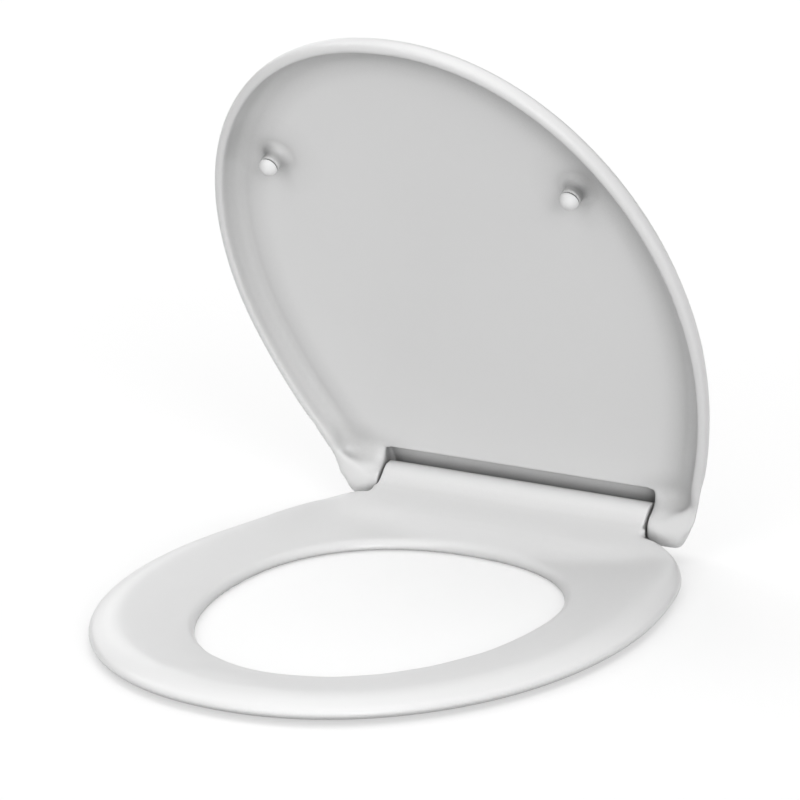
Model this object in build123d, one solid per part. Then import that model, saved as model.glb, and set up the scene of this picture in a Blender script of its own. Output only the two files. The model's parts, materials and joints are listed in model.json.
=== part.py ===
"""Toilet seat: dished ring with a hinge barrel, domed lid, two posts, pins, dampers and buffers.

Millimetres, +Z up, the front of the seat toward -Y. The origin lies midway between the two fixing
holes, on the plane the seat stands on. Outlines are worked in (x, s), where s is the distance
forward of the hinge axis, and the lid is modelled shut and then swung open about that axis.
"""
import math
import os

from build123d import *

# Outline of the seat, shared by the ring and the lid
SEAT_WIDTH = 370.0
FRONT_REACH = 424.0
WIDEST_AT = 185.0
FRONT_FULLNESS = 2.1
REAR_FULLNESS = 1.75
REAR_TAPER_LENGTH = 317.0

# Hinge axis and how far the lid stands open
HINGE_HEIGHT = 26.3
POST_SETBACK = 12.0
LID_OPEN_DEG = 60.3

# Ring: heights, edge roll and dish
RING_BOTTOM = 1.2
RIDGE_HEIGHT = 17.3
RIDGE_INSET = 15.5
EDGE_MID_HEIGHT = 8.6
EDGE_BAND = 1.8
REAR_SLOPE = 0.33
RING_REAR = 15.5
SHOULDER_X = 147.0
SHOULDER_S = 32.0
RING_SKIN = 4.0
RING_RIM_INSET = 20.0
RING_WALL = 9.0
RIB_THICKNESS = 4.0

# Opening in the ring
OPENING_WIDTH = 232.0
OPENING_REAR = 63.5
OPENING_FRONT = 353.5
OPENING_FRONT_FULLNESS = 2.05
OPENING_REAR_FULLNESS = 2.2
LIP_HEIGHT = 9.3
LIP_RADIUS = 6.5
LIP_UNDER_RADIUS = 0.8

# Hinge barrel on the ring
BARREL_LENGTH = 220.6
BARREL_RADIUS = 12.2
BARREL_BACK = 1.85
BARREL_RISE = 4.06
BARREL_FILLET = 20.0
BARREL_WALL = 10.0
POCKET_FRONT = 30.0
EYE_RADIUS = 8.5
EYE_CLEARANCE = 0.8
BOSS_RADIUS = 12.0
RIB_AT = 60.0

# Lid: heights above the hinge axis
LID_RIM_BOTTOM = -1.8
LID_RIM_MID = 5.5
LID_FLOOR = 13.0
LID_CROWN = 21.5
LID_RIM_WIDTH = 7.0
LID_RIM_RADIUS = 3.5
RECESS_REAR = 13.8
RECESS_CORNER = 44.0
RECESS_END = 116.0
COVE_FRONT = 24.0
LID_REAR_REACH = 18.0
COVE_RADIUS = 17.5
COVE_REAR = 2.0
LUG_RADIUS = 13.9
LUG_GAP = 2.2
LUG_END = 140.4
LUG_END_TURN_DEG = 24.0
LUG_END_RADIUS = 5.0

# Pins, dampers and bushes on the hinge axis
PIN_RADIUS = 4.0
PIN_INNER = 56.0
PIN_OUTER = 128.0
RUNNING_GAP = 0.05
SEAT_GAP = 0.05
DAMPER_RADIUS = 9.0
DAMPER_LENGTH = 20.0
BUSH_RADIUS = 6.0

# Posts and fixings
FIXING_SPACING = 155.0
POST_WIDTH = 20.0
POST_DEPTH = 16.0
POST_FOOT_LENGTH = 34.0
POST_FOOT_DEPTH = 20.0
POST_FOOT_THICKNESS = 4.0
GASKET_THICKNESS = 2.0
INSERT_RADIUS = 5.5
THREAD_RADIUS = 3.4
INSERT_LENGTH = 13.0

# Buffers
BUFFER_FRONT_X = 108.0
BUFFER_FRONT_S = 326.0
BUFFER_REAR_X = 126.0
BUFFER_REAR_S = 74.0
BUFFER_RADIUS = 10.0
BUFFER_SUNK = 2.0
BUFFER_STEM_RADIUS = 4.0
BUFFER_STEM_LENGTH = 4.0
BOSS_WALL = 3.0
BUMPER_X = 117.3
BUMPER_S = 307.0
BUMPER_RADIUS = 7.1
BUMPER_SEAM = 1.0
BUMPER_BASE_FILLET = 6.8
BUMPER_PLUG_RADIUS = 3.0
BUMPER_PLUG_LENGTH = 5.0

HALF = SEAT_WIDTH / 2
BARREL_END = BARREL_LENGTH / 2
LUG_INNER = BARREL_END + LUG_GAP
POST_X = FIXING_SPACING / 2
HINGE = Axis((0, POST_SETBACK, HINGE_HEIGHT), (1, 0, 0))
SIDES = {"left": -1, "right": 1}


def place(x, s, z):
    """A point from the distance right of centre, forward of the hinge axis, and up."""
    return Vector(x, POST_SETBACK - s, z)


def egg_point(angle, half, widest, front, rear, fulls):
    """A point on a two-part superellipse and its outward direction, angle 90 at the front tip."""
    reach, power = (front, fulls[0]) if angle >= 0 else (rear, fulls[1])
    c, v = math.cos(math.radians(angle)), abs(math.sin(math.radians(angle)))
    x, d = half * c ** (2 / power), reach * v ** (2 / power)
    nx, ns = (x / half) ** (power - 1) / half, (d / reach) ** (power - 1) / reach
    size = math.hypot(nx, ns)
    sign = 1 if angle >= 0 else -1
    return x, widest + sign * d, nx / size, sign * ns / size


def seat_point(angle):
    """A point on the seat's outer outline."""
    fulls = (FRONT_FULLNESS, REAR_FULLNESS)
    return egg_point(angle, HALF, WIDEST_AT, FRONT_REACH - WIDEST_AT, REAR_TAPER_LENGTH, fulls)


def inset_share(s, least, start, end):
    """How much of an inset applies at s: all of it in front of end, least at start and behind."""
    t = min(max((s - start) / (end - start), 0), 1)
    return least + (1 - least) * t * t * (3 - 2 * t)


def half_outline(inset, last_angle, least, start, end):
    """Points of the right half of the outline, front to rear, moved in by the inset."""
    points = []
    for i in range(15):
        x, s, nx, ns = seat_point(90 - (90 - last_angle) * i / 14)
        move = inset * inset_share(s, least, start, end)
        points.append((max(x - nx * move, 0), s - ns * move))
    return points


def closed_wire(half, z):
    """A closed wire from half an outline: a spline through both sides and a line across the rear."""
    right = [place(x, s, z) for x, s in half]
    left = [place(-x, s, z) for x, s in reversed(half)]
    inward = Vector(-1, 0, 0)
    spline = Edge.make_spline(left + right[1:], tangents=[inward, inward], scale=False)
    return Wire([spline, Edge.make_line(right[-1], left[0])])


def ring_half(inset, rear):
    """Half the ring's outline, ending in a straight edge behind the shoulders."""
    half = half_outline(inset, -22, 0.25, 20, 120)
    slip = 0.25 * inset
    half.append((SHOULDER_X - 0.7 * slip, SHOULDER_S + 0.7 * slip))
    half.append((BARREL_END + 3, rear + slip))
    return half


def beyond_strip(rows, way):
    """Everything above (way 1) or below (way -1) a rolled surface, given as half outlines and heights."""
    grid = []
    for half, z in rows:
        points = [place(-x, s, z) for x, s in reversed(half)]
        grid.append(points + [place(x, s, z) for x, s in half[1:]])
    return Solid.extrude(Face.make_surface_from_array_of_points(grid, tol=0.02), Vector(0, 0, 80 * way))


def prism(half, low, high):
    """A solid between two heights inside half an outline and its mirror image."""
    return Solid.extrude(Face(closed_wire(half, low)), Vector(0, 0, high - low))


def soft_max(a, b, width):
    """The larger of two values, with a smooth change-over."""
    return (a + b + math.sqrt((a - b) ** 2 + width ** 2)) / 2


def edge_distance(x, v, half, reach, power):
    """Distance from the middle of the seat to a superellipse, on the ray through a point."""
    ratio = ((abs(x) / half) ** power + (abs(v) / reach) ** power) ** (1 / power)
    return math.hypot(x, v) / max(ratio, 0.01)


def top_height(x, s):
    """Height of the ring's top: a dish falling inward from the ridge, rising to the barrel."""
    v = s - WIDEST_AT
    if v > 0:
        outer = edge_distance(x, v, HALF, FRONT_REACH - WIDEST_AT, FRONT_FULLNESS)
        inner = edge_distance(x, v, OPENING_WIDTH / 2, OPENING_FRONT - WIDEST_AT, OPENING_FRONT_FULLNESS)
    else:
        outer = edge_distance(x, v, HALF, REAR_TAPER_LENGTH, REAR_FULLNESS)
        inner = edge_distance(x, v, OPENING_WIDTH / 2, WIDEST_AT - OPENING_REAR, OPENING_REAR_FULLNESS)
    inner += LIP_RADIUS
    share = (math.hypot(x, v) - inner) / max(outer - RIDGE_INSET - inner, LIP_RADIUS)
    dish = LIP_HEIGHT + (RIDGE_HEIGHT - LIP_HEIGHT) * (soft_max(share + 0.15, 0, 0.05) - 0.15)
    beyond = soft_max(abs(x) - BARREL_END + 5, 0, 8)
    ramp = HINGE_HEIGHT - 0.2 - REAR_SLOPE * (s - 25) - 0.0044 * max(s - 31, 0) ** 2
    return soft_max(dish, ramp - 0.12 * beyond, 2)


def under_top(drop, tolerance):
    """Everything under the ring's top surface, lowered by drop and fitted to a tolerance."""
    xs = [HALF * 1.06 * (i / 11 - 1) for i in range(23)]
    ss = [8 + (FRONT_REACH - 2) * (j / 30) ** 1.35 for j in range(31)]
    grid = [[place(x, s, top_height(x, s) - drop) for s in ss] for x in xs]
    return Solid.extrude(Face.make_surface_from_array_of_points(grid, tol=tolerance), Vector(0, 0, -80))


def opening_wire(z, flare):
    """The opening's outline at one height, widened by the flare, as two mirrored halves."""
    front, rear = OPENING_FRONT - WIDEST_AT, WIDEST_AT - OPENING_REAR
    fulls = (OPENING_FRONT_FULLNESS, OPENING_REAR_FULLNESS)
    halves = []
    for side in SIDES.values():
        points = []
        for i in range(19):
            x, s, nx, ns = egg_point(90 - 10 * i, OPENING_WIDTH / 2, WIDEST_AT, front, rear, fulls)
            points.append(place(side * max(x + nx * flare, 0), s + ns * flare, z))
        outward, inward = Vector(side, 0, 0), Vector(-side, 0, 0)
        halves.append(Edge.make_spline(points, tangents=[outward, inward], scale=False))
    return Wire(halves)


def opening_rim(ring, last):
    """The opening's lowest edges on the ring, or its highest."""
    rims = [edge for edge in ring.edges() if edge.length > 300 and edge.bounding_box().size.X < HALF - 20]
    groups = ShapeList(rims).group_by(Axis.Z, tol_digits=0)
    return groups[-1] if last else groups[0]


def barrel_profile():
    """The barrel's section (distance forward, height over the axis), blended down to the ring."""
    rise = math.hypot(1, REAR_SLOPE)
    reach = BARREL_RADIUS + BARREL_FILLET
    lift = BARREL_FILLET * rise + REAR_SLOPE * 25 - BARREL_RISE
    a, b = 1 + REAR_SLOPE ** 2, 2 * (BARREL_BACK - REAR_SLOPE * lift)
    c = BARREL_BACK ** 2 + lift ** 2 - reach ** 2
    fs = (-b + math.sqrt(b * b - 4 * a * c)) / (2 * a)
    fz = BARREL_RISE + lift - REAR_SLOPE * fs
    k = BARREL_RADIUS / reach
    crest = (-BARREL_BACK + k * (fs + BARREL_BACK), BARREL_RISE + k * (fz - BARREL_RISE))
    foot = (fs - BARREL_FILLET * REAR_SLOPE / rise, fz - BARREL_FILLET / rise)
    lean = math.atan2(fz - foot[1], fs - foot[0]) / 2 + math.atan2(fz - crest[1], fs - crest[0]) / 2
    middle = (fs - BARREL_FILLET * math.cos(lean), fz - BARREL_FILLET * math.sin(lean))
    return crest, middle, foot


def section(points_or_edges):
    """A face across the hinge axis from edges given in (s, height over the axis)."""
    return Face(Wire(points_or_edges))


def at_axis(s, up):
    """A point on the hinge's middle plane."""
    return place(0, s, HINGE_HEIGHT + up)


def chain(points):
    """Straight edges through a list of (s, height over the axis) points."""
    return [Edge.make_line(at_axis(*p), at_axis(*q)) for p, q in zip(points, points[1:])]


def polygon_edges(points):
    """Straight edges round a list of (s, height over the axis) points."""
    return chain(points + points[:1])


def along(face, start, end):
    """A prism of a middle-plane face, between two places along the hinge axis."""
    return Solid.extrude(face, Vector(end - start, 0, 0)).moved(Location((start, 0, 0)))


def rod(radius, start, end):
    """A cylinder on the hinge axis between two places along it."""
    low = min(start, end)
    plane = Plane(origin=(low, POST_SETBACK, HINGE_HEIGHT), x_dir=(0, 1, 0), z_dir=(1, 0, 0))
    return Solid.make_cylinder(radius, abs(end - start), plane)


def upright(radius, x, y, low, high):
    """A standing cylinder."""
    return Solid.make_cylinder(radius, high - low, Plane(origin=(x, y, low)))


def box(x0, x1, y0, y1, z0, z1):
    """A box between two corners."""
    return Solid.make_box(x1 - x0, y1 - y0, z1 - z0, Plane(origin=(x0, y0, z0)))


def build_ring():
    """The seat ring with its barrel, hinge pocket, hollow underside and buffer bosses."""
    body = prism(ring_half(0, RING_REAR), RING_BOTTOM, 40)
    under = EDGE_MID_HEIGHT - EDGE_BAND
    roll = [(-6, -1), (-2, 5.4), (0, EDGE_MID_HEIGHT), (1, 10.2), (2.5, 11.5), (5.5, 13), (10, 15)]
    roll += [(RIDGE_INSET, RIDGE_HEIGHT), (24, 21), (40, 28), (62, 38)]
    tuck = [(-6, 14), (-2, 9), (0, under), (1, 5.5), (3, 3.9), (6, 2.7), (10, 1.8), (15, 1), (22, -0.3), (34, -3)]
    body -= beyond_strip([(ring_half(inset, RING_REAR), z) for inset, z in roll], 1)
    body -= beyond_strip([(ring_half(inset, RING_REAR), z) for inset, z in tuck], -1)
    ring = body & under_top(0, 0.02)
    opening = Face(opening_wire(-5, 0))
    ring -= Solid.extrude(opening, Vector(0, 0, 80))
    ring = ring.fillet(LIP_UNDER_RADIUS, opening_rim(ring, False))
    ring = ring.fillet(LIP_RADIUS, opening_rim(ring, True))

    crest, middle, foot = barrel_profile()
    back, floor = -BARREL_BACK - BARREL_RADIUS, -2.5
    end = (46.0, foot[1] - 0.75 * (46.0 - foot[0]))
    top = (-BARREL_BACK, BARREL_RISE + BARREL_RADIUS)
    edges = [
        Edge.make_line(at_axis(back, floor), at_axis(back, BARREL_RISE)),
        Edge.make_three_point_arc(at_axis(back, BARREL_RISE), at_axis(*top), at_axis(*crest)),
        Edge.make_three_point_arc(at_axis(*crest), at_axis(*middle), at_axis(*foot)),
        Edge.make_line(at_axis(*foot), at_axis(*end)),
        Edge.make_line(at_axis(*end), at_axis(end[0], -16)),
        Edge.make_line(at_axis(end[0], -16), at_axis(0, floor)),
        Edge.make_line(at_axis(0, floor), at_axis(back, floor)),
    ]
    ring += along(section(edges), -BARREL_END, BARREL_END)

    pocket_end = BARREL_END - BARREL_WALL
    reach = EYE_RADIUS + EYE_CLEARANCE
    roof = [(POCKET_FRONT, -60), (POCKET_FRONT, -7), (0.8 * reach, 0.6 * reach), (0, reach)]
    roof += [(-reach, 0), (-60, -2), (-60, -60)]
    ring -= along(section(polygon_edges(roof)), -pocket_end, pocket_end)
    ring -= rod(reach, -pocket_end, pocket_end)
    web = section(polygon_edges([(0, -BOSS_RADIUS), (POCKET_FRONT + 1, -20), (POCKET_FRONT + 1, -6), (0, 8)]))
    for side in SIDES.values():
        for middle_x, width in ((BARREL_END - BARREL_WALL / 2, BARREL_WALL), (RIB_AT, RIB_THICKNESS)):
            low, high = side * middle_x - width / 2, side * middle_x + width / 2
            boss = BOSS_RADIUS if width > RIB_THICKNESS else reach + 0.3
            ring += along(web, low, high) + rod(boss, low, high)

    ring -= hollow()
    for side in SIDES.values():
        ring -= rod(BUSH_RADIUS + SEAT_GAP, side * pocket_end, side * (BARREL_END + 1))
        ring -= rod(PIN_RADIUS + RUNNING_GAP, side * (RIB_AT - 4), side * (RIB_AT + 4))
    for x, s in buffer_places().values():
        y, seat = POST_SETBACK - s, RING_BOTTOM + BUFFER_SUNK
        ring -= upright(BUFFER_RADIUS + SEAT_GAP, x, y, 0, seat)
        ring -= upright(BUFFER_STEM_RADIUS + SEAT_GAP, x, y, 0, seat + BUFFER_STEM_LENGTH)
    return ring


def hollow():
    """The space under the ring's skin, left solid at the ribs and the buffer bosses."""
    low = RING_BOTTOM - 2
    core = Solid.extrude(Face(opening_wire(low, RING_WALL)), Vector(0, 0, 40))
    half = half_outline(RING_RIM_INSET, -34, 1, 0, 1)
    space = (prism(half, low, 40) - core) & under_top(RING_SKIN, 0.5)
    front = POST_SETBACK - POCKET_FRONT
    space -= box(-HALF, HALF, front - 6, POST_SETBACK, 0, 60)
    for low, high in ((-HALF, -0.5 * HALF), (0.5 * HALF, HALF)):
        space -= box(low, high, front - 20, POST_SETBACK, 0, 60)
    for turn in (-50, -15, 25, 60, 90, 120, 155, 195, 230, 270):
        rib = box(0, 260, -RIB_THICKNESS / 2, RIB_THICKNESS / 2, 0, 60).rotate(Axis.Z, turn + 180)
        space -= rib.moved(Location(place(0, WIDEST_AT, 0)))
    for x, s in buffer_places().values():
        space -= upright(BUFFER_RADIUS + BOSS_WALL, x, POST_SETBACK - s, 0, 60)
    return space


def buffer_places():
    """Where the four seat buffers stand."""
    places = {}
    for name, side in SIDES.items():
        places["front_" + name] = (side * BUFFER_FRONT_X, BUFFER_FRONT_S)
        places["rear_" + name] = (side * BUFFER_REAR_X, BUFFER_REAR_S)
    return places


def lid_half(inset, rear, corner_from, least, end_x, power):
    """Half the lid's outline, with a rounded corner into a straight rear."""
    turn = -math.degrees(math.asin(((WIDEST_AT - corner_from) / REAR_TAPER_LENGTH) ** (REAR_FULLNESS / 2)))
    half = half_outline(inset, turn, least, -10, 90)
    x0, s0 = half[-1]
    for angle in (30, 60):
        c, d = math.cos(math.radians(angle)), math.sin(math.radians(angle))
        half.append((end_x + (x0 - end_x) * c ** power, s0 - (s0 - rear) * d ** power))
    half.append((end_x, rear))
    return half


def rear_cutter(points, reach):
    """Everything behind a curve across the lid, given from its lowest to its highest point."""
    curve = Edge.make_spline([at_axis(*p) for p in points])
    first, last = points[0], points[-1]
    edges = [curve, *chain([last, (last[0], reach), (-60, reach), (-60, first[1]), first])]
    return along(section(edges), -HALF, HALF)


def lid_outline(inset):
    """Half the lid's outer outline, moved in by the inset."""
    return lid_half(inset, -LID_REAR_REACH, 8, 0.3, 100, 0.9)


def recess_rear(inset):
    """How far forward the recess starts on the lugs, for a line on its wall."""
    return RECESS_REAR + 0.75 * (inset - LID_RIM_WIDTH)


def recess_half(inset):
    """Half an outline of the recess inside the lid, its corner rounder toward the floor."""
    extra = inset - LID_RIM_WIDTH
    corner, end = RECESS_CORNER + 1.8 * extra, RECESS_END - 0.8 * extra
    return lid_half(inset, recess_rear(inset), corner, 1, end, 0.9 + 0.022 * extra)


def build_lug():
    """The right hinge lug: a round boss on the axis whose end follows the lid's outline."""
    lug = rod(LUG_RADIUS, LUG_INNER, LUG_END + LUG_RADIUS)
    beyond = box(0, 2 * LUG_RADIUS, -60, 60, 0, 90).rotate(Axis.Z, LUG_END_TURN_DEG)
    lug -= beyond.moved(Location(place(LUG_END, 0, 0)))
    return lug.fillet(LUG_END_RADIUS, lug.edges().filter_by(GeomType.ELLIPSE))


def build_lid():
    """The lid, shut: domed shell, recess, rear cove over the barrel, two hinge lugs and buffer bosses."""
    base, crown = HINGE_HEIGHT + LID_RIM_BOTTOM, HINGE_HEIGHT + LID_CROWN
    lid = prism(lid_outline(0), base, crown)
    lid = lid.fillet(LID_RIM_RADIUS, lid.edges().group_by(Axis.Z)[0])
    dome = [(-6, -6), (-2, 1.2), (0, LID_RIM_MID), (1, 8), (3, 10.6), (6.5, 12.5), (13, 15), (25, 17.8)]
    dome += [(45, 19.9), (75, 21.3), (110, 22.6)]
    lid -= beyond_strip([(lid_outline(i), HINGE_HEIGHT + n) for i, n in dome], 1)
    back = [(-LID_REAR_REACH * (1 - (k / 10) ** 3) ** (1 / 3), (LID_CROWN + 0.3) * k / 10) for k in range(11)]
    lid -= rear_cutter([(-LID_REAR_REACH - 1, -4), *back], 60)

    wide = LID_RIM_WIDTH
    wall = [(wide - 9, -30), (wide - 4.5, -14), (wide - 1.6, -4), (wide - 0.7, -2), (wide, 0), (wide + 0.7, 3)]
    wall += [(wide + 1.9, 6), (wide + 3.8, 9), (wide + 6.6, 11.5), (wide + 10, 12.7), (wide + 13, 13.2)]
    wall += [(wide + 21, 14.2)]
    bowl = prism(lid_half(wide - 5.5, 9, RECESS_CORNER - 10, 1, 112, 0.9), base - 6, HINGE_HEIGHT + LID_FLOOR)
    bowl -= beyond_strip([(recess_half(i), HINGE_HEIGHT + n) for i, n in wall], 1)
    bowl -= rear_cutter([(recess_rear(i), n) for i, n in wall], 30)
    lid -= bowl
    lug = build_lug()
    lid += lug
    lid += lug.mirror(Plane.YZ)
    gap = [(COVE_REAR, 60), (-60, 60), (-60, -60), (COVE_FRONT, -60), (COVE_FRONT, COVE_RADIUS)]
    gap += [(COVE_REAR, COVE_RADIUS)]
    lid -= along(section(polygon_edges(gap)), -LUG_INNER, LUG_INNER)
    for side in SIDES.values():
        lid -= rod(DAMPER_RADIUS + SEAT_GAP, side * (LUG_INNER - 1), side * (LUG_INNER + DAMPER_LENGTH))
        lid += bumper_boss(side)
    return lid


def turned(side, edges):
    """A solid turned about a lid buffer's own axis, from edges in (radius, height over the hinge axis)."""
    axis = Axis((side * BUMPER_X, POST_SETBACK - BUMPER_S, 0), (0, 0, 1))
    return Solid.revolve(Face(Wire(edges)), 360, axis)


def from_bumper(side, radius, up):
    """A point beside a lid buffer's axis."""
    return Vector(side * BUMPER_X + radius, POST_SETBACK - BUMPER_S, HINGE_HEIGHT + up)


def bumper_boss(side):
    """The moulded boss a lid buffer plugs into, with a wide fillet at its root."""
    wide, root = BUMPER_RADIUS + BUMPER_BASE_FILLET, LID_FLOOR - BUMPER_BASE_FILLET
    bend = (wide - BUMPER_BASE_FILLET * math.sqrt(0.5), root + BUMPER_BASE_FILLET * math.sqrt(0.5))
    plug = (BUMPER_PLUG_RADIUS + SEAT_GAP, BUMPER_SEAM + BUMPER_PLUG_LENGTH)
    outline = [(wide, LID_FLOOR), (wide, LID_FLOOR + 2), (0, LID_FLOOR + 2), (0, plug[1]), plug]
    outline += [(plug[0], BUMPER_SEAM), (BUMPER_RADIUS, BUMPER_SEAM), (BUMPER_RADIUS, root)]
    ends = [from_bumper(side, *p) for p in outline]
    edges = [Edge.make_line(p, q) for p, q in zip(ends, ends[1:])]
    edges.append(Edge.make_three_point_arc(ends[-1], from_bumper(side, *bend), ends[0]))
    return turned(side, edges)


def build_post(side):
    """A hinge post: foot, pillar, and an arm back to the eye on the hinge axis."""
    x = side * POST_X
    low, high = x - POST_WIDTH / 2, x + POST_WIDTH / 2
    base, top = GASKET_THICKNESS, GASKET_THICKNESS + POST_FOOT_THICKNESS
    foot = post_foot(side, base, top)
    front, rear = POST_SETBACK + POST_DEPTH / 2, POST_SETBACK - POST_DEPTH / 2
    arm = [(front, top - 1 - HINGE_HEIGHT), (front, -10), (0.6 * EYE_RADIUS, 0.8 * EYE_RADIUS)]
    arm += [(0.2, 0.2 - EYE_RADIUS), (rear, -15), (rear, top - 1 - HINGE_HEIGHT)]
    post = foot + along(section(polygon_edges(arm)), low, high) + rod(EYE_RADIUS, low, high)
    post -= rod(PIN_RADIUS + SEAT_GAP, low - 1, high + 1)
    post -= upright(INSERT_RADIUS + SEAT_GAP, x, 0, 0, base + INSERT_LENGTH)
    return post


def post_foot(side, low, high):
    """The rounded plate under a post, from one height to another."""
    outline = Sketch() + RectangleRounded(POST_FOOT_LENGTH, POST_FOOT_DEPTH, POST_FOOT_DEPTH * 0.3)
    centre = (side * POST_X, -(POST_FOOT_DEPTH - POST_DEPTH) / 2, low)
    return extrude(Location(centre) * outline, high - low).solid()


def build_buffer(x, s):
    """A seat buffer: a round pad with softened edges and a plug pushed up into the ring."""
    y = POST_SETBACK - s
    seat = RING_BOTTOM + BUFFER_SUNK
    pad = upright(BUFFER_RADIUS, x, y, 0, seat)
    pad = pad.fillet(0.8, pad.edges().filter_by(GeomType.CIRCLE))
    return pad + upright(BUFFER_STEM_RADIUS, x, y, seat - 1, seat + BUFFER_STEM_LENGTH - 0.2)


def build_bumper(side):
    """A lid buffer, shut: a half ball of soft rubber with a plug pushed into its boss."""
    bend = BUMPER_RADIUS * math.sqrt(0.5)
    outline = [(BUMPER_RADIUS, BUMPER_SEAM), (BUMPER_PLUG_RADIUS, BUMPER_SEAM)]
    outline += [(BUMPER_PLUG_RADIUS, BUMPER_SEAM + BUMPER_PLUG_LENGTH - 0.2)]
    outline += [(0, BUMPER_SEAM + BUMPER_PLUG_LENGTH - 0.2), (0, BUMPER_SEAM - BUMPER_RADIUS)]
    ends = [from_bumper(side, *p) for p in outline]
    edges = [Edge.make_line(p, q) for p, q in zip(ends, ends[1:])]
    edges.append(Edge.make_three_point_arc(ends[-1], from_bumper(side, bend, BUMPER_SEAM - bend), ends[0]))
    return turned(side, edges)


def opened(shape):
    """A piece of the lid swung open from shut."""
    return shape.rotate(HINGE, -LID_OPEN_DEG)


def build_parts():
    """Every piece by its node name."""
    parts = {"seat_ring": build_ring(), "lid": opened(build_lid())}
    for name, (x, s) in buffer_places().items():
        parts["seat_buffer_" + name] = build_buffer(x, s)
    for name, side in SIDES.items():
        x = side * POST_X
        parts["lid_buffer_" + name] = opened(build_bumper(side))
        parts["hinge_post_" + name] = build_post(side)
        parts["hinge_pin_" + name] = rod(PIN_RADIUS, side * PIN_INNER, side * PIN_OUTER)
        damper = rod(DAMPER_RADIUS, side * LUG_INNER, side * (LUG_INNER + DAMPER_LENGTH - 0.1))
        parts["lid_damper_" + name] = opened(damper - rod(PIN_RADIUS + RUNNING_GAP, 0, side * (PIN_OUTER + 0.3)))
        bush = rod(BUSH_RADIUS, side * (BARREL_END - BARREL_WALL), side * BARREL_END)
        parts["ring_bush_" + name] = bush - rod(PIN_RADIUS + RUNNING_GAP, 0, side * (BARREL_END + 1))
        hole = upright(THREAD_RADIUS, x, 0, 0, 40)
        sleeve = upright(INSERT_RADIUS, x, 0, 0, GASKET_THICKNESS + INSERT_LENGTH)
        parts["threaded_insert_" + name] = sleeve - hole
        gasket = post_foot(side, 0, GASKET_THICKNESS)
        parts["post_gasket_" + name] = gasket - upright(INSERT_RADIUS + SEAT_GAP, x, 0, -1, 40)
    return parts


os.makedirs("parts", exist_ok=True)
for node, shape in build_parts().items():
    export_step(shape, "parts/" + node + ".step")
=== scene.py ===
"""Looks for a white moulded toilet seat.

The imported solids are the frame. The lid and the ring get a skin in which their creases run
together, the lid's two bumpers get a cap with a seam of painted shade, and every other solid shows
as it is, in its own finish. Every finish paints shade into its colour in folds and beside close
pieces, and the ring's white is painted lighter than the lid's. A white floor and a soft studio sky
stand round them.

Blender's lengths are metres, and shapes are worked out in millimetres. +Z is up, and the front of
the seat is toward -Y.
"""
import json
import math

import bmesh
import bpy
import mathutils
import numpy as np
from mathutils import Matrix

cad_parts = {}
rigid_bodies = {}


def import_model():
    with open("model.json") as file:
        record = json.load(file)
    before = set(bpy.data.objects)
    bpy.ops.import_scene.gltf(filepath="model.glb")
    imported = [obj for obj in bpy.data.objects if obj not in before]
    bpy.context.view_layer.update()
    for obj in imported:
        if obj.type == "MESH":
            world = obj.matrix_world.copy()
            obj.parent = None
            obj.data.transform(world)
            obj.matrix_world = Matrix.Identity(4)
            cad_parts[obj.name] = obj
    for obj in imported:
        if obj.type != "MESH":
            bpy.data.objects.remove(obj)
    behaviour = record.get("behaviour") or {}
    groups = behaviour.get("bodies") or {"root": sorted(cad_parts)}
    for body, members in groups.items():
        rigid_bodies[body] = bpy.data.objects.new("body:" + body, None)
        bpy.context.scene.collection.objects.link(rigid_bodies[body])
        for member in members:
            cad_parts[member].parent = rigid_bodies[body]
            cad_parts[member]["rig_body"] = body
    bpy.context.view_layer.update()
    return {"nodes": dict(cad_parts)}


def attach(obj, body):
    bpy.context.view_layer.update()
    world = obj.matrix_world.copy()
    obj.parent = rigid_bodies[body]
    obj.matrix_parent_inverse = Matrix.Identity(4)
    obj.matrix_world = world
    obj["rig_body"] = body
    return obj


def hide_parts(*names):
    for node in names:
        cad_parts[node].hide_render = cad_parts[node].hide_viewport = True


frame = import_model()

MM = 1000

# Camera fitted to the photograph's outlines
CAMERA_PLACE = (1.0245, -1.9277, 0.7002)
CAMERA_TILT_DEG = 74.812
CAMERA_TURN_DEG = 30.10
CAMERA_LENS_MM = 139.3
CAMERA_SENSOR_MM = 36.0

# Sky: one even level, and broad pools given as bearing from the front, height and strength
SKY_BASE = 0.113
POOL_SHARPNESS = 40.0
SKY_POOLS = [
    (0.0, 18.0, 4.6),
    (45.0, 18.0, 10.3),
    (135.0, 18.0, 0.4),
    (225.0, 18.0, 2.3),
    (0.0, 45.0, 2.8),
    (135.0, 45.0, 1.2),
    (180.0, 45.0, 1.4),
    (270.0, 45.0, 3.4),
    (45.0, 70.0, 2.6),
    (90.0, 70.0, 0.5),
    (135.0, 70.0, 1.4),
    (225.0, 70.0, 1.5),
    (270.0, 70.0, 1.4),
    (0.0, 90.0, 0.5),
]

# Floor, with its half width in metres
FLOOR_HALF = 30
FLOOR_TONE = 0.5
FLOOR_GLOW = 0.505

# Hinge axis as y and z, and the angle at which the lid stands open
HINGE_PLACE = (12.0, 26.3)
LID_OPEN_DEG = 60.3

# Skins: grain, share of triangles kept, and passes of smoothing all over, at lugs and along the ridge
MERGE_WITHIN = 1e-6
SKIN_GRAIN = 1.25
SKIN_KEEP = 0.34
SMOOTH_FACTOR = 0.5
EVEN_PASSES = 3
LUG_PASSES = 60
RIDGE_PASSES = 220
LEAST_WEIGHT = 0.001
LEAST_RUN = 1e-9

# Wedge that blends a lug into the lid's rim, measured with the lid shut and ahead of the hinge axis
LUG_INNER = 112.5
LUG_RADIUS = 13.9
LUG_BLEND = 24.0
LUG_SLANT = 0.6
LUG_STATIONS = 20
LUG_SIDE_SWELL = 3.0
LUG_SIDE_END = 50.0
WEDGE_TOP = 1.0
RIM_WIDTH = 5.0
RIM_BOTTOM = -1.8
LID_REAR_HALF = 141.5
LID_SIDE_SLOPE = 0.365

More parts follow.
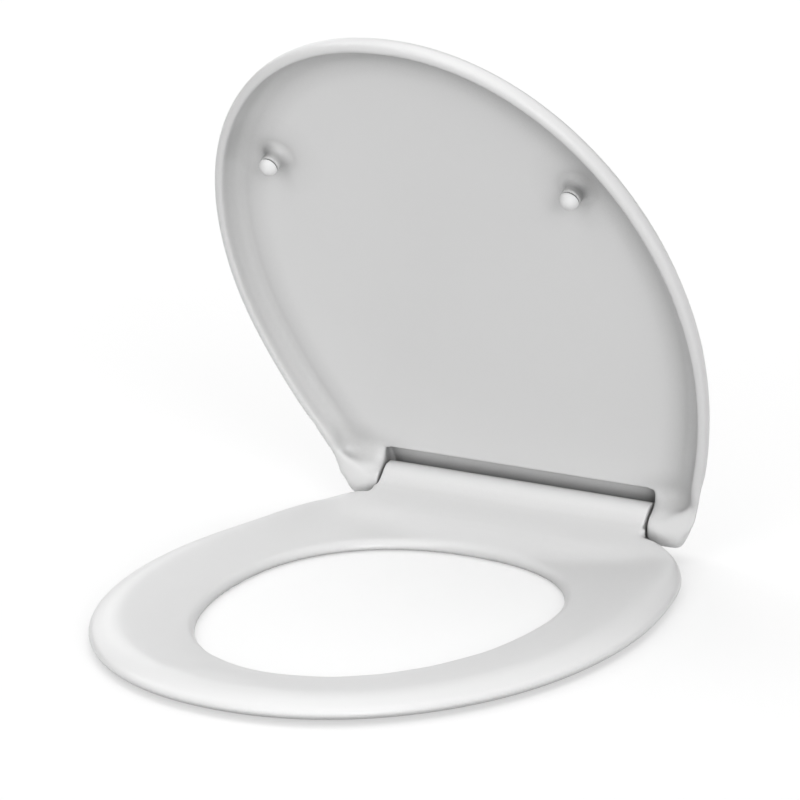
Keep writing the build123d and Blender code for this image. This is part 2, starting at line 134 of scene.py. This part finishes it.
# Where smoothing begins and where it is full
LUG_SOFT_ACROSS = (LUG_INNER - 3, LUG_INNER + 6)
LUG_SOFT_AHEAD = (62, 30)
RIDGE_SOFT_HEIGHT = (10.5, 13)
RIDGE_SOFT_EDGE = (2, 8)
RIDGE_SOFT_DISH = (52, 34)
RIDGE_SOFT_REAR = (-4, -24)

# Where the lid's skin begins to keep to the solid round a bumper's boss, and where it does so fully
BOSS_TRUE_OUT = (24, 16)
BOSS_TRUE_HEIGHT = (46, 43)

# Bumpers: how far the edge at the seam is drawn in, and the share of the radius that counts as edge
LID_BUFFERS = ("lid_buffer_left", "lid_buffer_right")
CAP_CHAMFER = 0.8
CAP_EDGE_SHARE = 0.985

# Mould finish and painted shade: scale and detail of its noises, and the reach in metres of the shade
# painted between close pieces
DRIFT_NOISE = (6.0, 2.0)
SMUDGE_NOISE = (22.0, 4.0)
TEXTURE_NOISE = (900.0, 1.0)
CONTACT_SHADE_REACH = 0.010
SHADE_SAMPLES = 8
BUMP_STRENGTH = 0.4


def ramp(values, low, high):
    """A smooth step from 0 at low to 1 at high, also where low is the larger: 3 t^2 - 2 t^3."""
    share = np.clip((values - low) / (high - low), 0, 1)
    return share * share * (3 - 2 * share)


def hinge_turn(points, degrees):
    """Points in millimetres, turned about the hinge axis: a plain rotation of y and z."""
    turn = math.radians(degrees)
    y, z = points[:, 1] - HINGE_PLACE[0], points[:, 2] - HINGE_PLACE[1]
    turned = points.copy()
    turned[:, 1] = HINGE_PLACE[0] + y * math.cos(turn) - z * math.sin(turn)
    turned[:, 2] = HINGE_PLACE[1] + y * math.sin(turn) + z * math.cos(turn)
    return turned


def coordinates(mesh):
    """A mesh's points in millimetres, one row each."""
    points = np.zeros(len(mesh.vertices) * 3)
    mesh.vertices.foreach_get("co", points)
    return points.reshape(-1, 3) * MM


def middle_of(shut):
    """The middle of a bumper's box in plan, from its points with the lid shut."""
    return (shut[:, :2].min(axis=0) + shut[:, :2].max(axis=0)) / 2


def lug_fillets():
    """Two wedges that fill the corner between each hinge lug and the lid's rim.

    A four-cornered section is carried forward from the lug. Its lower edge follows the circle that
    touches both the round lug and the underside of the rim, so the corner is a concave round. Its
    outer edge follows the lid's side, swollen by half a sine wave, and its inner edge slants from the
    lug out to the rim by a power of the way along the round.
    """
    down = RIM_BOTTOM - LUG_BLEND
    ahead = math.sqrt((LUG_RADIUS + LUG_BLEND) ** 2 - down ** 2)
    start = LUG_RADIUS / (LUG_RADIUS + LUG_BLEND) * ahead
    forward = np.linspace(start / 2, LUG_SIDE_END, LUG_STATIONS)
    near = np.clip(forward, start, ahead)
    low = down + np.sqrt(LUG_BLEND ** 2 - (near - ahead) ** 2)
    swell = LUG_SIDE_SWELL * np.sin(math.pi * forward / LUG_SIDE_END)
    outer = LID_REAR_HALF + forward * LID_SIDE_SLOPE + swell
    share = (near - start) / (ahead - start)
    inner = LUG_INNER + (outer - RIM_WIDTH - LUG_INNER) * share ** LUG_SLANT
    top = np.full(LUG_STATIONS, WEDGE_TOP)
    across = np.stack([inner, outer, outer, inner], axis=1)
    along = np.repeat(HINGE_PLACE[0] - forward[:, None], 4, axis=1)
    upward = HINGE_PLACE[1] + np.stack([low, low, top, top], axis=1)
    sides = [np.stack([side * across, along, upward], axis=2).reshape(-1, 3) for side in (-1, 1)]

    corner = np.arange((LUG_STATIONS - 1) * 4)
    following = corner - corner % 4 + (corner + 1) % 4
    walls = np.stack([corner, following, following + 4, corner + 4], axis=1)
    last = LUG_STATIONS * 4
    ends = np.array([[3, 2, 1, 0], [last - 4, last - 3, last - 2, last - 1]])
    faces = np.concatenate([walls, ends, walls + last, ends + last])
    mesh = bpy.data.meshes.new("lug_fillets")
    points = hinge_turn(np.concatenate(sides), -LID_OPEN_DEG) / MM
    mesh.from_pydata(points.tolist(), [], faces.tolist())
    return mesh


def lid_softness(points):
    """How far each point of the opened lid is smoothed: fully at the lugs.

    It is a ramp of the distance from the middle times a ramp of the distance ahead of the hinge.
    """
    ahead = HINGE_PLACE[0] - hinge_turn(points, LID_OPEN_DEG)[:, 1]
    return ramp(np.abs(points[:, 0]), *LUG_SOFT_ACROSS) * ramp(ahead, *LUG_SOFT_AHEAD)


def lid_truth(points):
    """How far each point of the opened lid goes back to the solid.

    With the lid shut, it is a ramp of the distance from the nearer bumper's middle times a ramp of
    the height.
    """
    shut = hinge_turn(points, LID_OPEN_DEG)
    buffers = [coordinates(frame["nodes"][name].data) for name in LID_BUFFERS]
    middles = [middle_of(hinge_turn(buffer, LID_OPEN_DEG)) for buffer in buffers]
    away = np.min([np.linalg.norm(shut[:, :2] - middle, axis=1) for middle in middles], axis=0)
    return ramp(away, *BOSS_TRUE_OUT) * ramp(shut[:, 2], *BOSS_TRUE_HEIGHT)


def ring_softness(points):
    """How far each point of the ring is smoothed: fully along the ridge between dish and slope.

    It is a product of ramps: one of the height, two of the distance in plan from the ring's hull,
    rising from the edge and falling into the dish, and one along the seat, which leaves the barrel.
    """
    plan = points[:, :2]
    hull = plan[mathutils.geometry.convex_hull_2d(plan.tolist())]
    inset = np.full(len(points), np.inf)
    for start, end in zip(hull, np.roll(hull, -1, axis=0)):
        run = end - start
        along = np.clip(((plan - start) @ run) / max(run @ run, LEAST_RUN), 0, 1)
        inset = np.minimum(inset, np.linalg.norm(plan - start - along[:, None] * run, axis=1))
    ridge = ramp(inset, *RIDGE_SOFT_EDGE) * ramp(inset, *RIDGE_SOFT_DISH)
    return ramp(points[:, 2], *RIDGE_SOFT_HEIGHT) * ridge * ramp(points[:, 1], *RIDGE_SOFT_REAR)


def merged_copy(node, name, extra=None):
    """A copy of a solid's mesh with its loose triangles joined, and a closed mesh added beside it."""
    shape = bmesh.new()
    shape.from_mesh(node.data)
    bmesh.ops.remove_doubles(shape, verts=shape.verts, dist=MERGE_WITHIN)
    if extra:
        added = bmesh.new()
        added.from_mesh(extra)
        bmesh.ops.recalc_face_normals(added, faces=added.faces)
        added.to_mesh(extra)
        added.free()
        shape.from_mesh(extra)
    mesh = bpy.data.meshes.new(name)
    shape.to_mesh(mesh)
    shape.free()
    return mesh


def placed(name, data):
    """A new object in the scene, at the origin, that shows a mesh or holds a camera."""
    thing = bpy.data.objects.new(name, data)
    bpy.context.collection.objects.link(thing)
    return thing


def settle(piece):
    """Turns a piece's modifiers into its mesh."""
    bpy.context.view_layer.update()
    depsgraph = bpy.context.evaluated_depsgraph_get()
    made = bpy.data.meshes.new_from_object(piece.evaluated_get(depsgraph))
    made.name = piece.name
    piece.modifiers.clear()
    piece.data = made


def weigh(piece, label, weights):
    """A vertex group that holds each point's weight."""
    group = piece.vertex_groups.new(name=label)
    for index in np.flatnonzero(weights > LEAST_WEIGHT):
        group.add([int(index)], float(weights[index]), "REPLACE")


def smooth(piece, label, passes, group=""):
    """A modifier that moves each point half-way to the middle of its neighbours, pass by pass."""
    modifier = piece.modifiers.new(label, "SMOOTH")
    modifier.factor, modifier.iterations, modifier.vertex_group = SMOOTH_FACTOR, passes, group


def skin(name, softness, truth, passes, extra=None):
    """A solid's own skin, with its creases run together as in a moulding. It stands for the solid.

    The solid and what is added to it are grown into one even grid of faces. All of it is smoothed a
    little and the soft places much more, and the true places then go back to the solid.
    """
    node = frame["nodes"][name]
    piece = placed(name + "_skin", merged_copy(node, name + "_skin", extra))
    grain = piece.modifiers.new("grain", "REMESH")
    grain.mode = "VOXEL"
    grain.voxel_size = SKIN_GRAIN / MM
    settle(piece)
    points = coordinates(piece.data)
    weigh(piece, "soft", softness(points))
    smooth(piece, "even", EVEN_PASSES)
    smooth(piece, "blend", passes, "soft")
    if truth:
        weigh(piece, "true", truth(points))
        back = piece.modifiers.new("back", "SHRINKWRAP")
        back.target, back.vertex_group = node, "true"
    thin = piece.modifiers.new("thin", "DECIMATE")
    thin.ratio = SKIN_KEEP
    settle(piece)
    piece.vertex_groups.clear()
    piece.data.materials.clear()
    piece.data.shade_smooth()
    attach(piece, node["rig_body"])
    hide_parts(name)
    return piece


def bumper_cap(name):
    """A soft bumper whose edge is drawn in where it meets its boss, so that the seam shows.

    Points at the full radius move toward the bumper's axis by the chamfer, and the faces that they
    carry take the second material, a dark grey that is painted shade in the seam. It stands for the
    solid.
    """
    node = frame["nodes"][name]
    mesh = merged_copy(node, name + "_cap")
    shut = hinge_turn(coordinates(mesh), LID_OPEN_DEG)
    middle = middle_of(shut)
    out = np.linalg.norm(shut[:, :2] - middle, axis=1)
    edge = out > CAP_EDGE_SHARE * out.max()
    shut[edge, :2] = middle + (shut[edge, :2] - middle) * (1 - CAP_CHAMFER / out.max())
    mesh.vertices.foreach_set("co", (hinge_turn(shut, -LID_OPEN_DEG) / MM).ravel())
    mesh.update()
    mesh.materials.clear()
    mesh.shade_smooth()
    corners = np.zeros(len(mesh.loops), dtype=np.int32)
    mesh.loops.foreach_get("vertex_index", corners)
    # The faces at the seam take the dark grey of painted shade
    at_seam_shade = edge[corners].reshape(-1, 3).any(axis=1)
    mesh.polygons.foreach_set("material_index", at_seam_shade.astype(np.int32))
    piece = placed(name + "_cap", mesh)
    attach(piece, node["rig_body"])
    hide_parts(name)
    return piece


def new_group(name, inputs, outputs):
    """An empty shader node group with named sockets, and its input and output nodes."""
    group = bpy.data.node_groups.new(name, "ShaderNodeTree")
    for label, kind, value in inputs:
        socket = group.interface.new_socket(label, in_out="INPUT", socket_type=kind)
        socket.default_value = value
    for label, kind in outputs:
        group.interface.new_socket(label, in_out="OUTPUT", socket_type=kind)
    return group, group.nodes.new("NodeGroupInput"), group.nodes.new("NodeGroupOutput")


def math_node(tree, kind, first, second):
    """The output of a math node, fed by links or by plain numbers."""
    node = tree.nodes.new("ShaderNodeMath")
    node.operation = kind
    for socket, value in zip(node.inputs, (first, second)):
        if isinstance(value, float):
            socket.default_value = value
        else:
            tree.links.new(value, socket)
    return node.outputs[0]


def mould_finish_group():
    """Colour, roughness and height of a moulded skin, with painted shade in its colour.

    Colour is the given one times three falls from 1: a slow noise of random tone, painted shade in
    the piece's own folds, and painted shade where another piece stands close to it. Roughness is the
    given one plus a noise of smudges. Height is a fine noise.
    """
    inputs = [
        ("Color", "NodeSocketColor", (0.9, 0.9, 0.9, 1)),
        ("Drift", "NodeSocketFloat", 0.02),
        ("Roughness", "NodeSocketFloat", 0.3),
        ("Smudge", "NodeSocketFloat", 0.08),
        ("Texture Scale", "NodeSocketFloat", 900.0),
        ("Painted Fold Shade", "NodeSocketFloat", 0.5),
        ("Painted Fold Shade Reach", "NodeSocketFloat", 0.01),
        ("Painted Contact Shade", "NodeSocketFloat", 0.4),
    ]
    outputs = [
        ("Color", "NodeSocketColor"),
        ("Roughness", "NodeSocketFloat"),
        ("Height", "NodeSocketFloat"),
    ]
    group, given, result = new_group("mould_finish_and_painted_shade", inputs, outputs)
    add, link = group.nodes.new, group.links.new
    place = add("ShaderNodeTexCoord")

    def noise(scale, detail):
        node = add("ShaderNodeTexNoise")
        node.inputs["Scale"].default_value = scale
        node.inputs["Detail"].default_value = detail
        link(place.outputs["Object"], node.inputs["Vector"])
        return node

    def less(value, strength):
        taken = math_node(group, "MULTIPLY", value, given.outputs[strength])
        return math_node(group, "SUBTRACT", 1.0, taken)

    # Painted shade: ambient occlusion darkens the colour in the piece's own folds, or where other
    # pieces stand close
    def shade(strength, own_folds):
        node = add("ShaderNodeAmbientOcclusion")
        node.samples = SHADE_SAMPLES
        node.only_local = own_folds
        node.inputs["Distance"].default_value = CONTACT_SHADE_REACH
        if own_folds:
            link(given.outputs["Painted Fold Shade Reach"], node.inputs["Distance"])
        return less(math_node(group, "SUBTRACT", 1.0, node.outputs["AO"]), strength)

    slow, smudges, fine = noise(*DRIFT_NOISE), noise(*SMUDGE_NOISE), noise(*TEXTURE_NOISE)
    link(given.outputs["Texture Scale"], fine.inputs["Scale"])
    tone = add("ShaderNodeHueSaturation")
    link(given.outputs["Color"], tone.inputs["Color"])
    # Both painted shades and the slow noise of tone multiply into the colour
    shaded = math_node(group, "MULTIPLY", shade("Painted Fold Shade", True), shade("Painted Contact Shade", False))
    light = less(slow.outputs["Fac"], "Drift")
    link(math_node(group, "MULTIPLY", light, shaded), tone.inputs["Value"])
    link(tone.outputs["Color"], result.inputs["Color"])
    spread = math_node(group, "MULTIPLY", smudges.outputs["Fac"], given.outputs["Smudge"])
    link(math_node(group, "ADD", given.outputs["Roughness"], spread), result.inputs["Roughness"])
    link(fine.outputs["Fac"], result.inputs["Height"])
    return group


MOULD_FINISH_AND_PAINTED_SHADE = mould_finish_group()


def moulded(
    name, color, drift, roughness, smudge, texture_scale, bump_mm, painted_fold_shade,
    fold_shade_reach_mm=10.0, painted_contact_shade=0.4, metallic=0.0,
):
    """A material whose colour, roughness and bump come from the mould finish, with painted shade in
    its colour in folds and beside close pieces.
    """
    material = bpy.data.materials.new(name)
    material.use_nodes = True
    nodes, links = material.node_tree.nodes, material.node_tree.links
    shader = nodes["Principled BSDF"]
    finish = nodes.new("ShaderNodeGroup")
    finish.node_tree = MOULD_FINISH_AND_PAINTED_SHADE
    finish.inputs["Color"].default_value = (*color, 1)
    finish.inputs["Drift"].default_value = drift
    finish.inputs["Roughness"].default_value = roughness
    finish.inputs["Smudge"].default_value = smudge
    finish.inputs["Texture Scale"].default_value = texture_scale
    finish.inputs["Painted Fold Shade"].default_value = painted_fold_shade
    finish.inputs["Painted Fold Shade Reach"].default_value = fold_shade_reach_mm / MM
    finish.inputs["Painted Contact Shade"].default_value = painted_contact_shade
    bump = nodes.new("ShaderNodeBump")
    bump.inputs["Strength"].default_value = BUMP_STRENGTH
    bump.inputs["Distance"].default_value = bump_mm / MM
    links.new(finish.outputs["Color"], shader.inputs["Base Color"])
    links.new(finish.outputs["Roughness"], shader.inputs["Roughness"])
    links.new(finish.outputs["Height"], bump.inputs["Height"])
    links.new(bump.outputs["Normal"], shader.inputs["Normal"])
    shader.inputs["Metallic"].default_value = metallic
    return material


def dress(prefix, material):
    """Gives every solid whose name starts with the prefix one material."""
    for name, node in frame["nodes"].items():
        if name.startswith(prefix):
            node.data.materials.clear()
            node.data.materials.append(material)


def stage_floor():
    """A white floor that keeps soft shadows: diffuse, with a glow that camera and mirror rays see."""
    mesh = bpy.data.meshes.new("floor")
    signs = [(-1, -1), (1, -1), (1, 1), (-1, 1)]
    mesh.from_pydata([(x * FLOOR_HALF, y * FLOOR_HALF, 0) for x, y in signs], [], [(0, 1, 2, 3)])
    material = bpy.data.materials.new("floor_white")
    material.use_nodes = True
    tree = material.node_tree
    shader = tree.nodes["Principled BSDF"]
    shader.inputs["Base Color"].default_value = (FLOOR_TONE, FLOOR_TONE, FLOOR_TONE, 1)
    shader.inputs["Roughness"].default_value = 1.0
    shader.inputs["Specular IOR Level"].default_value = 0.0
    shader.inputs["Emission Color"].default_value = (1, 1, 1, 1)
    rays = tree.nodes.new("ShaderNodeLightPath").outputs
    seen = math_node(tree, "MAXIMUM", rays["Is Camera Ray"], rays["Is Glossy Ray"])
    glow = math_node(tree, "MULTIPLY", seen, FLOOR_GLOW)
    tree.links.new(glow, shader.inputs["Emission Strength"])
    mesh.materials.append(material)
    placed("floor", mesh)


def stage_light():
    """A studio sky: one even level, and pools that are a power of the cosine from their middle."""
    world = bpy.data.worlds.new("studio_sky")
    world.use_nodes = True
    tree = world.node_tree
    sky = tree.nodes["Background"]
    sky.inputs["Color"].default_value = (1, 1, 1, 1)
    way = tree.nodes.new("ShaderNodeTexCoord").outputs["Generated"]
    total = SKY_BASE
    for bearing, height, strength in SKY_POOLS:
        turn, lift = math.radians(bearing), math.radians(height)
        toward = tree.nodes.new("ShaderNodeVectorMath")
        toward.operation = "DOT_PRODUCT"
        toward.inputs[1].default_value = (
            math.sin(turn) * math.cos(lift),
            -math.cos(turn) * math.cos(lift),
            math.sin(lift),
        )
        tree.links.new(way, toward.inputs[0])
        lit = math_node(tree, "MAXIMUM", toward.outputs["Value"], 0.0)
        pool = math_node(tree, "MULTIPLY", math_node(tree, "POWER", lit, POOL_SHARPNESS), strength)
        total = math_node(tree, "ADD", pool, total)
    tree.links.new(total, sky.inputs["Strength"])
    bpy.context.scene.world = world


def stage_camera():
    """The camera that took the photograph."""
    data = bpy.data.cameras.new("camera")
    data.lens = CAMERA_LENS_MM
    data.sensor_width = CAMERA_SENSOR_MM
    camera = placed("camera", data)
    camera.location = CAMERA_PLACE
    camera.rotation_euler = (math.radians(CAMERA_TILT_DEG), 0, math.radians(CAMERA_TURN_DEG))
    bpy.context.scene.camera = camera


# Finishes of the plastics, the rubbers and the metals, with painted shade in folds and beside close
# pieces
lid_white = moulded(
    "lid_white", (0.75, 0.75, 0.75), drift=0.02, roughness=0.30, smudge=0.06,
    texture_scale=900.0, bump_mm=0.02, painted_fold_shade=1.3, fold_shade_reach_mm=30.0, painted_contact_shade=0.75,
)
# The ring's white is the lid's white made lighter: painted light that brightens the ring beside the
# lid
seat_white_painted_lighter = moulded(
    "seat_white_painted_lighter", (0.79, 0.79, 0.79), drift=0.02, roughness=0.30, smudge=0.06,
    texture_scale=900.0, bump_mm=0.02, painted_fold_shade=0.6, painted_contact_shade=0.55,
)
post_white = moulded(
    "post_white", (0.72, 0.72, 0.72), drift=0.03, roughness=0.45, smudge=0.10,
    texture_scale=700.0, bump_mm=0.05, painted_fold_shade=0.5,
)
bush_white = moulded(
    "bush_white", (0.68, 0.68, 0.67), drift=0.03, roughness=0.5, smudge=0.10,
    texture_scale=700.0, bump_mm=0.05, painted_fold_shade=0.3,
)
soft_white = moulded(
    "soft_white", (0.80, 0.80, 0.80), drift=0.03, roughness=0.55, smudge=0.10,
    texture_scale=600.0, bump_mm=0.05, painted_fold_shade=0.3,
)
# A dark grey on the bumpers' seams: painted shade in the groove between bumper and boss
seam_painted_shade = moulded(
    "seam_painted_shade", (0.22, 0.22, 0.22), drift=0.03, roughness=0.6, smudge=0.10,
    texture_scale=600.0, bump_mm=0.05, painted_fold_shade=0.3,
)
gasket_grey = moulded(
    "gasket_grey", (0.5, 0.5, 0.5), drift=0.05, roughness=0.7, smudge=0.10,
    texture_scale=500.0, bump_mm=0.08, painted_fold_shade=0.3,
)
pin_steel = moulded(
    "pin_steel", (0.62, 0.62, 0.63), drift=0.06, roughness=0.28, smudge=0.15,
    texture_scale=1500.0, bump_mm=0.03, painted_fold_shade=0.0, metallic=1.0,
)
insert_brass = moulded(
    "insert_brass", (0.76, 0.6, 0.3), drift=0.08, roughness=0.32, smudge=0.15,
    texture_scale=1500.0, bump_mm=0.03, painted_fold_shade=0.0, metallic=1.0,
)

# The solids in their finishes, where a longer prefix comes after the short one that it begins with
for prefix, material in (
    ("seat_ring", seat_white_painted_lighter),
    ("lid", lid_white),
    ("lid_buffer", soft_white),
    ("lid_damper", bush_white),
    ("ring_bush", bush_white),
    ("seat_buffer", soft_white),
    ("hinge_post", post_white),
    ("hinge_pin", pin_steel),
    ("threaded_insert", insert_brass),
    ("post_gasket", gasket_grey),
):
    dress(prefix, material)

# The pieces that stand for a solid
for name, softness, truth, passes, extra, material, slot in (
    ("lid", lid_softness, lid_truth, LUG_PASSES, lug_fillets(), lid_white, "lid_plastic"),
    ("seat_ring", ring_softness, None, RIDGE_PASSES, None, seat_white_painted_lighter, "seat_plastic"),
):
    piece = skin(name, softness, truth, passes, extra)
    piece.data.materials.append(material)

for name in LID_BUFFERS:
    cap = bumper_cap(name)
    cap.data.materials.append(soft_white)
    cap.data.materials.append(seam_painted_shade)

stage_floor()
stage_light()
stage_camera()
bpy.context.scene.view_settings.view_transform = "Standard"
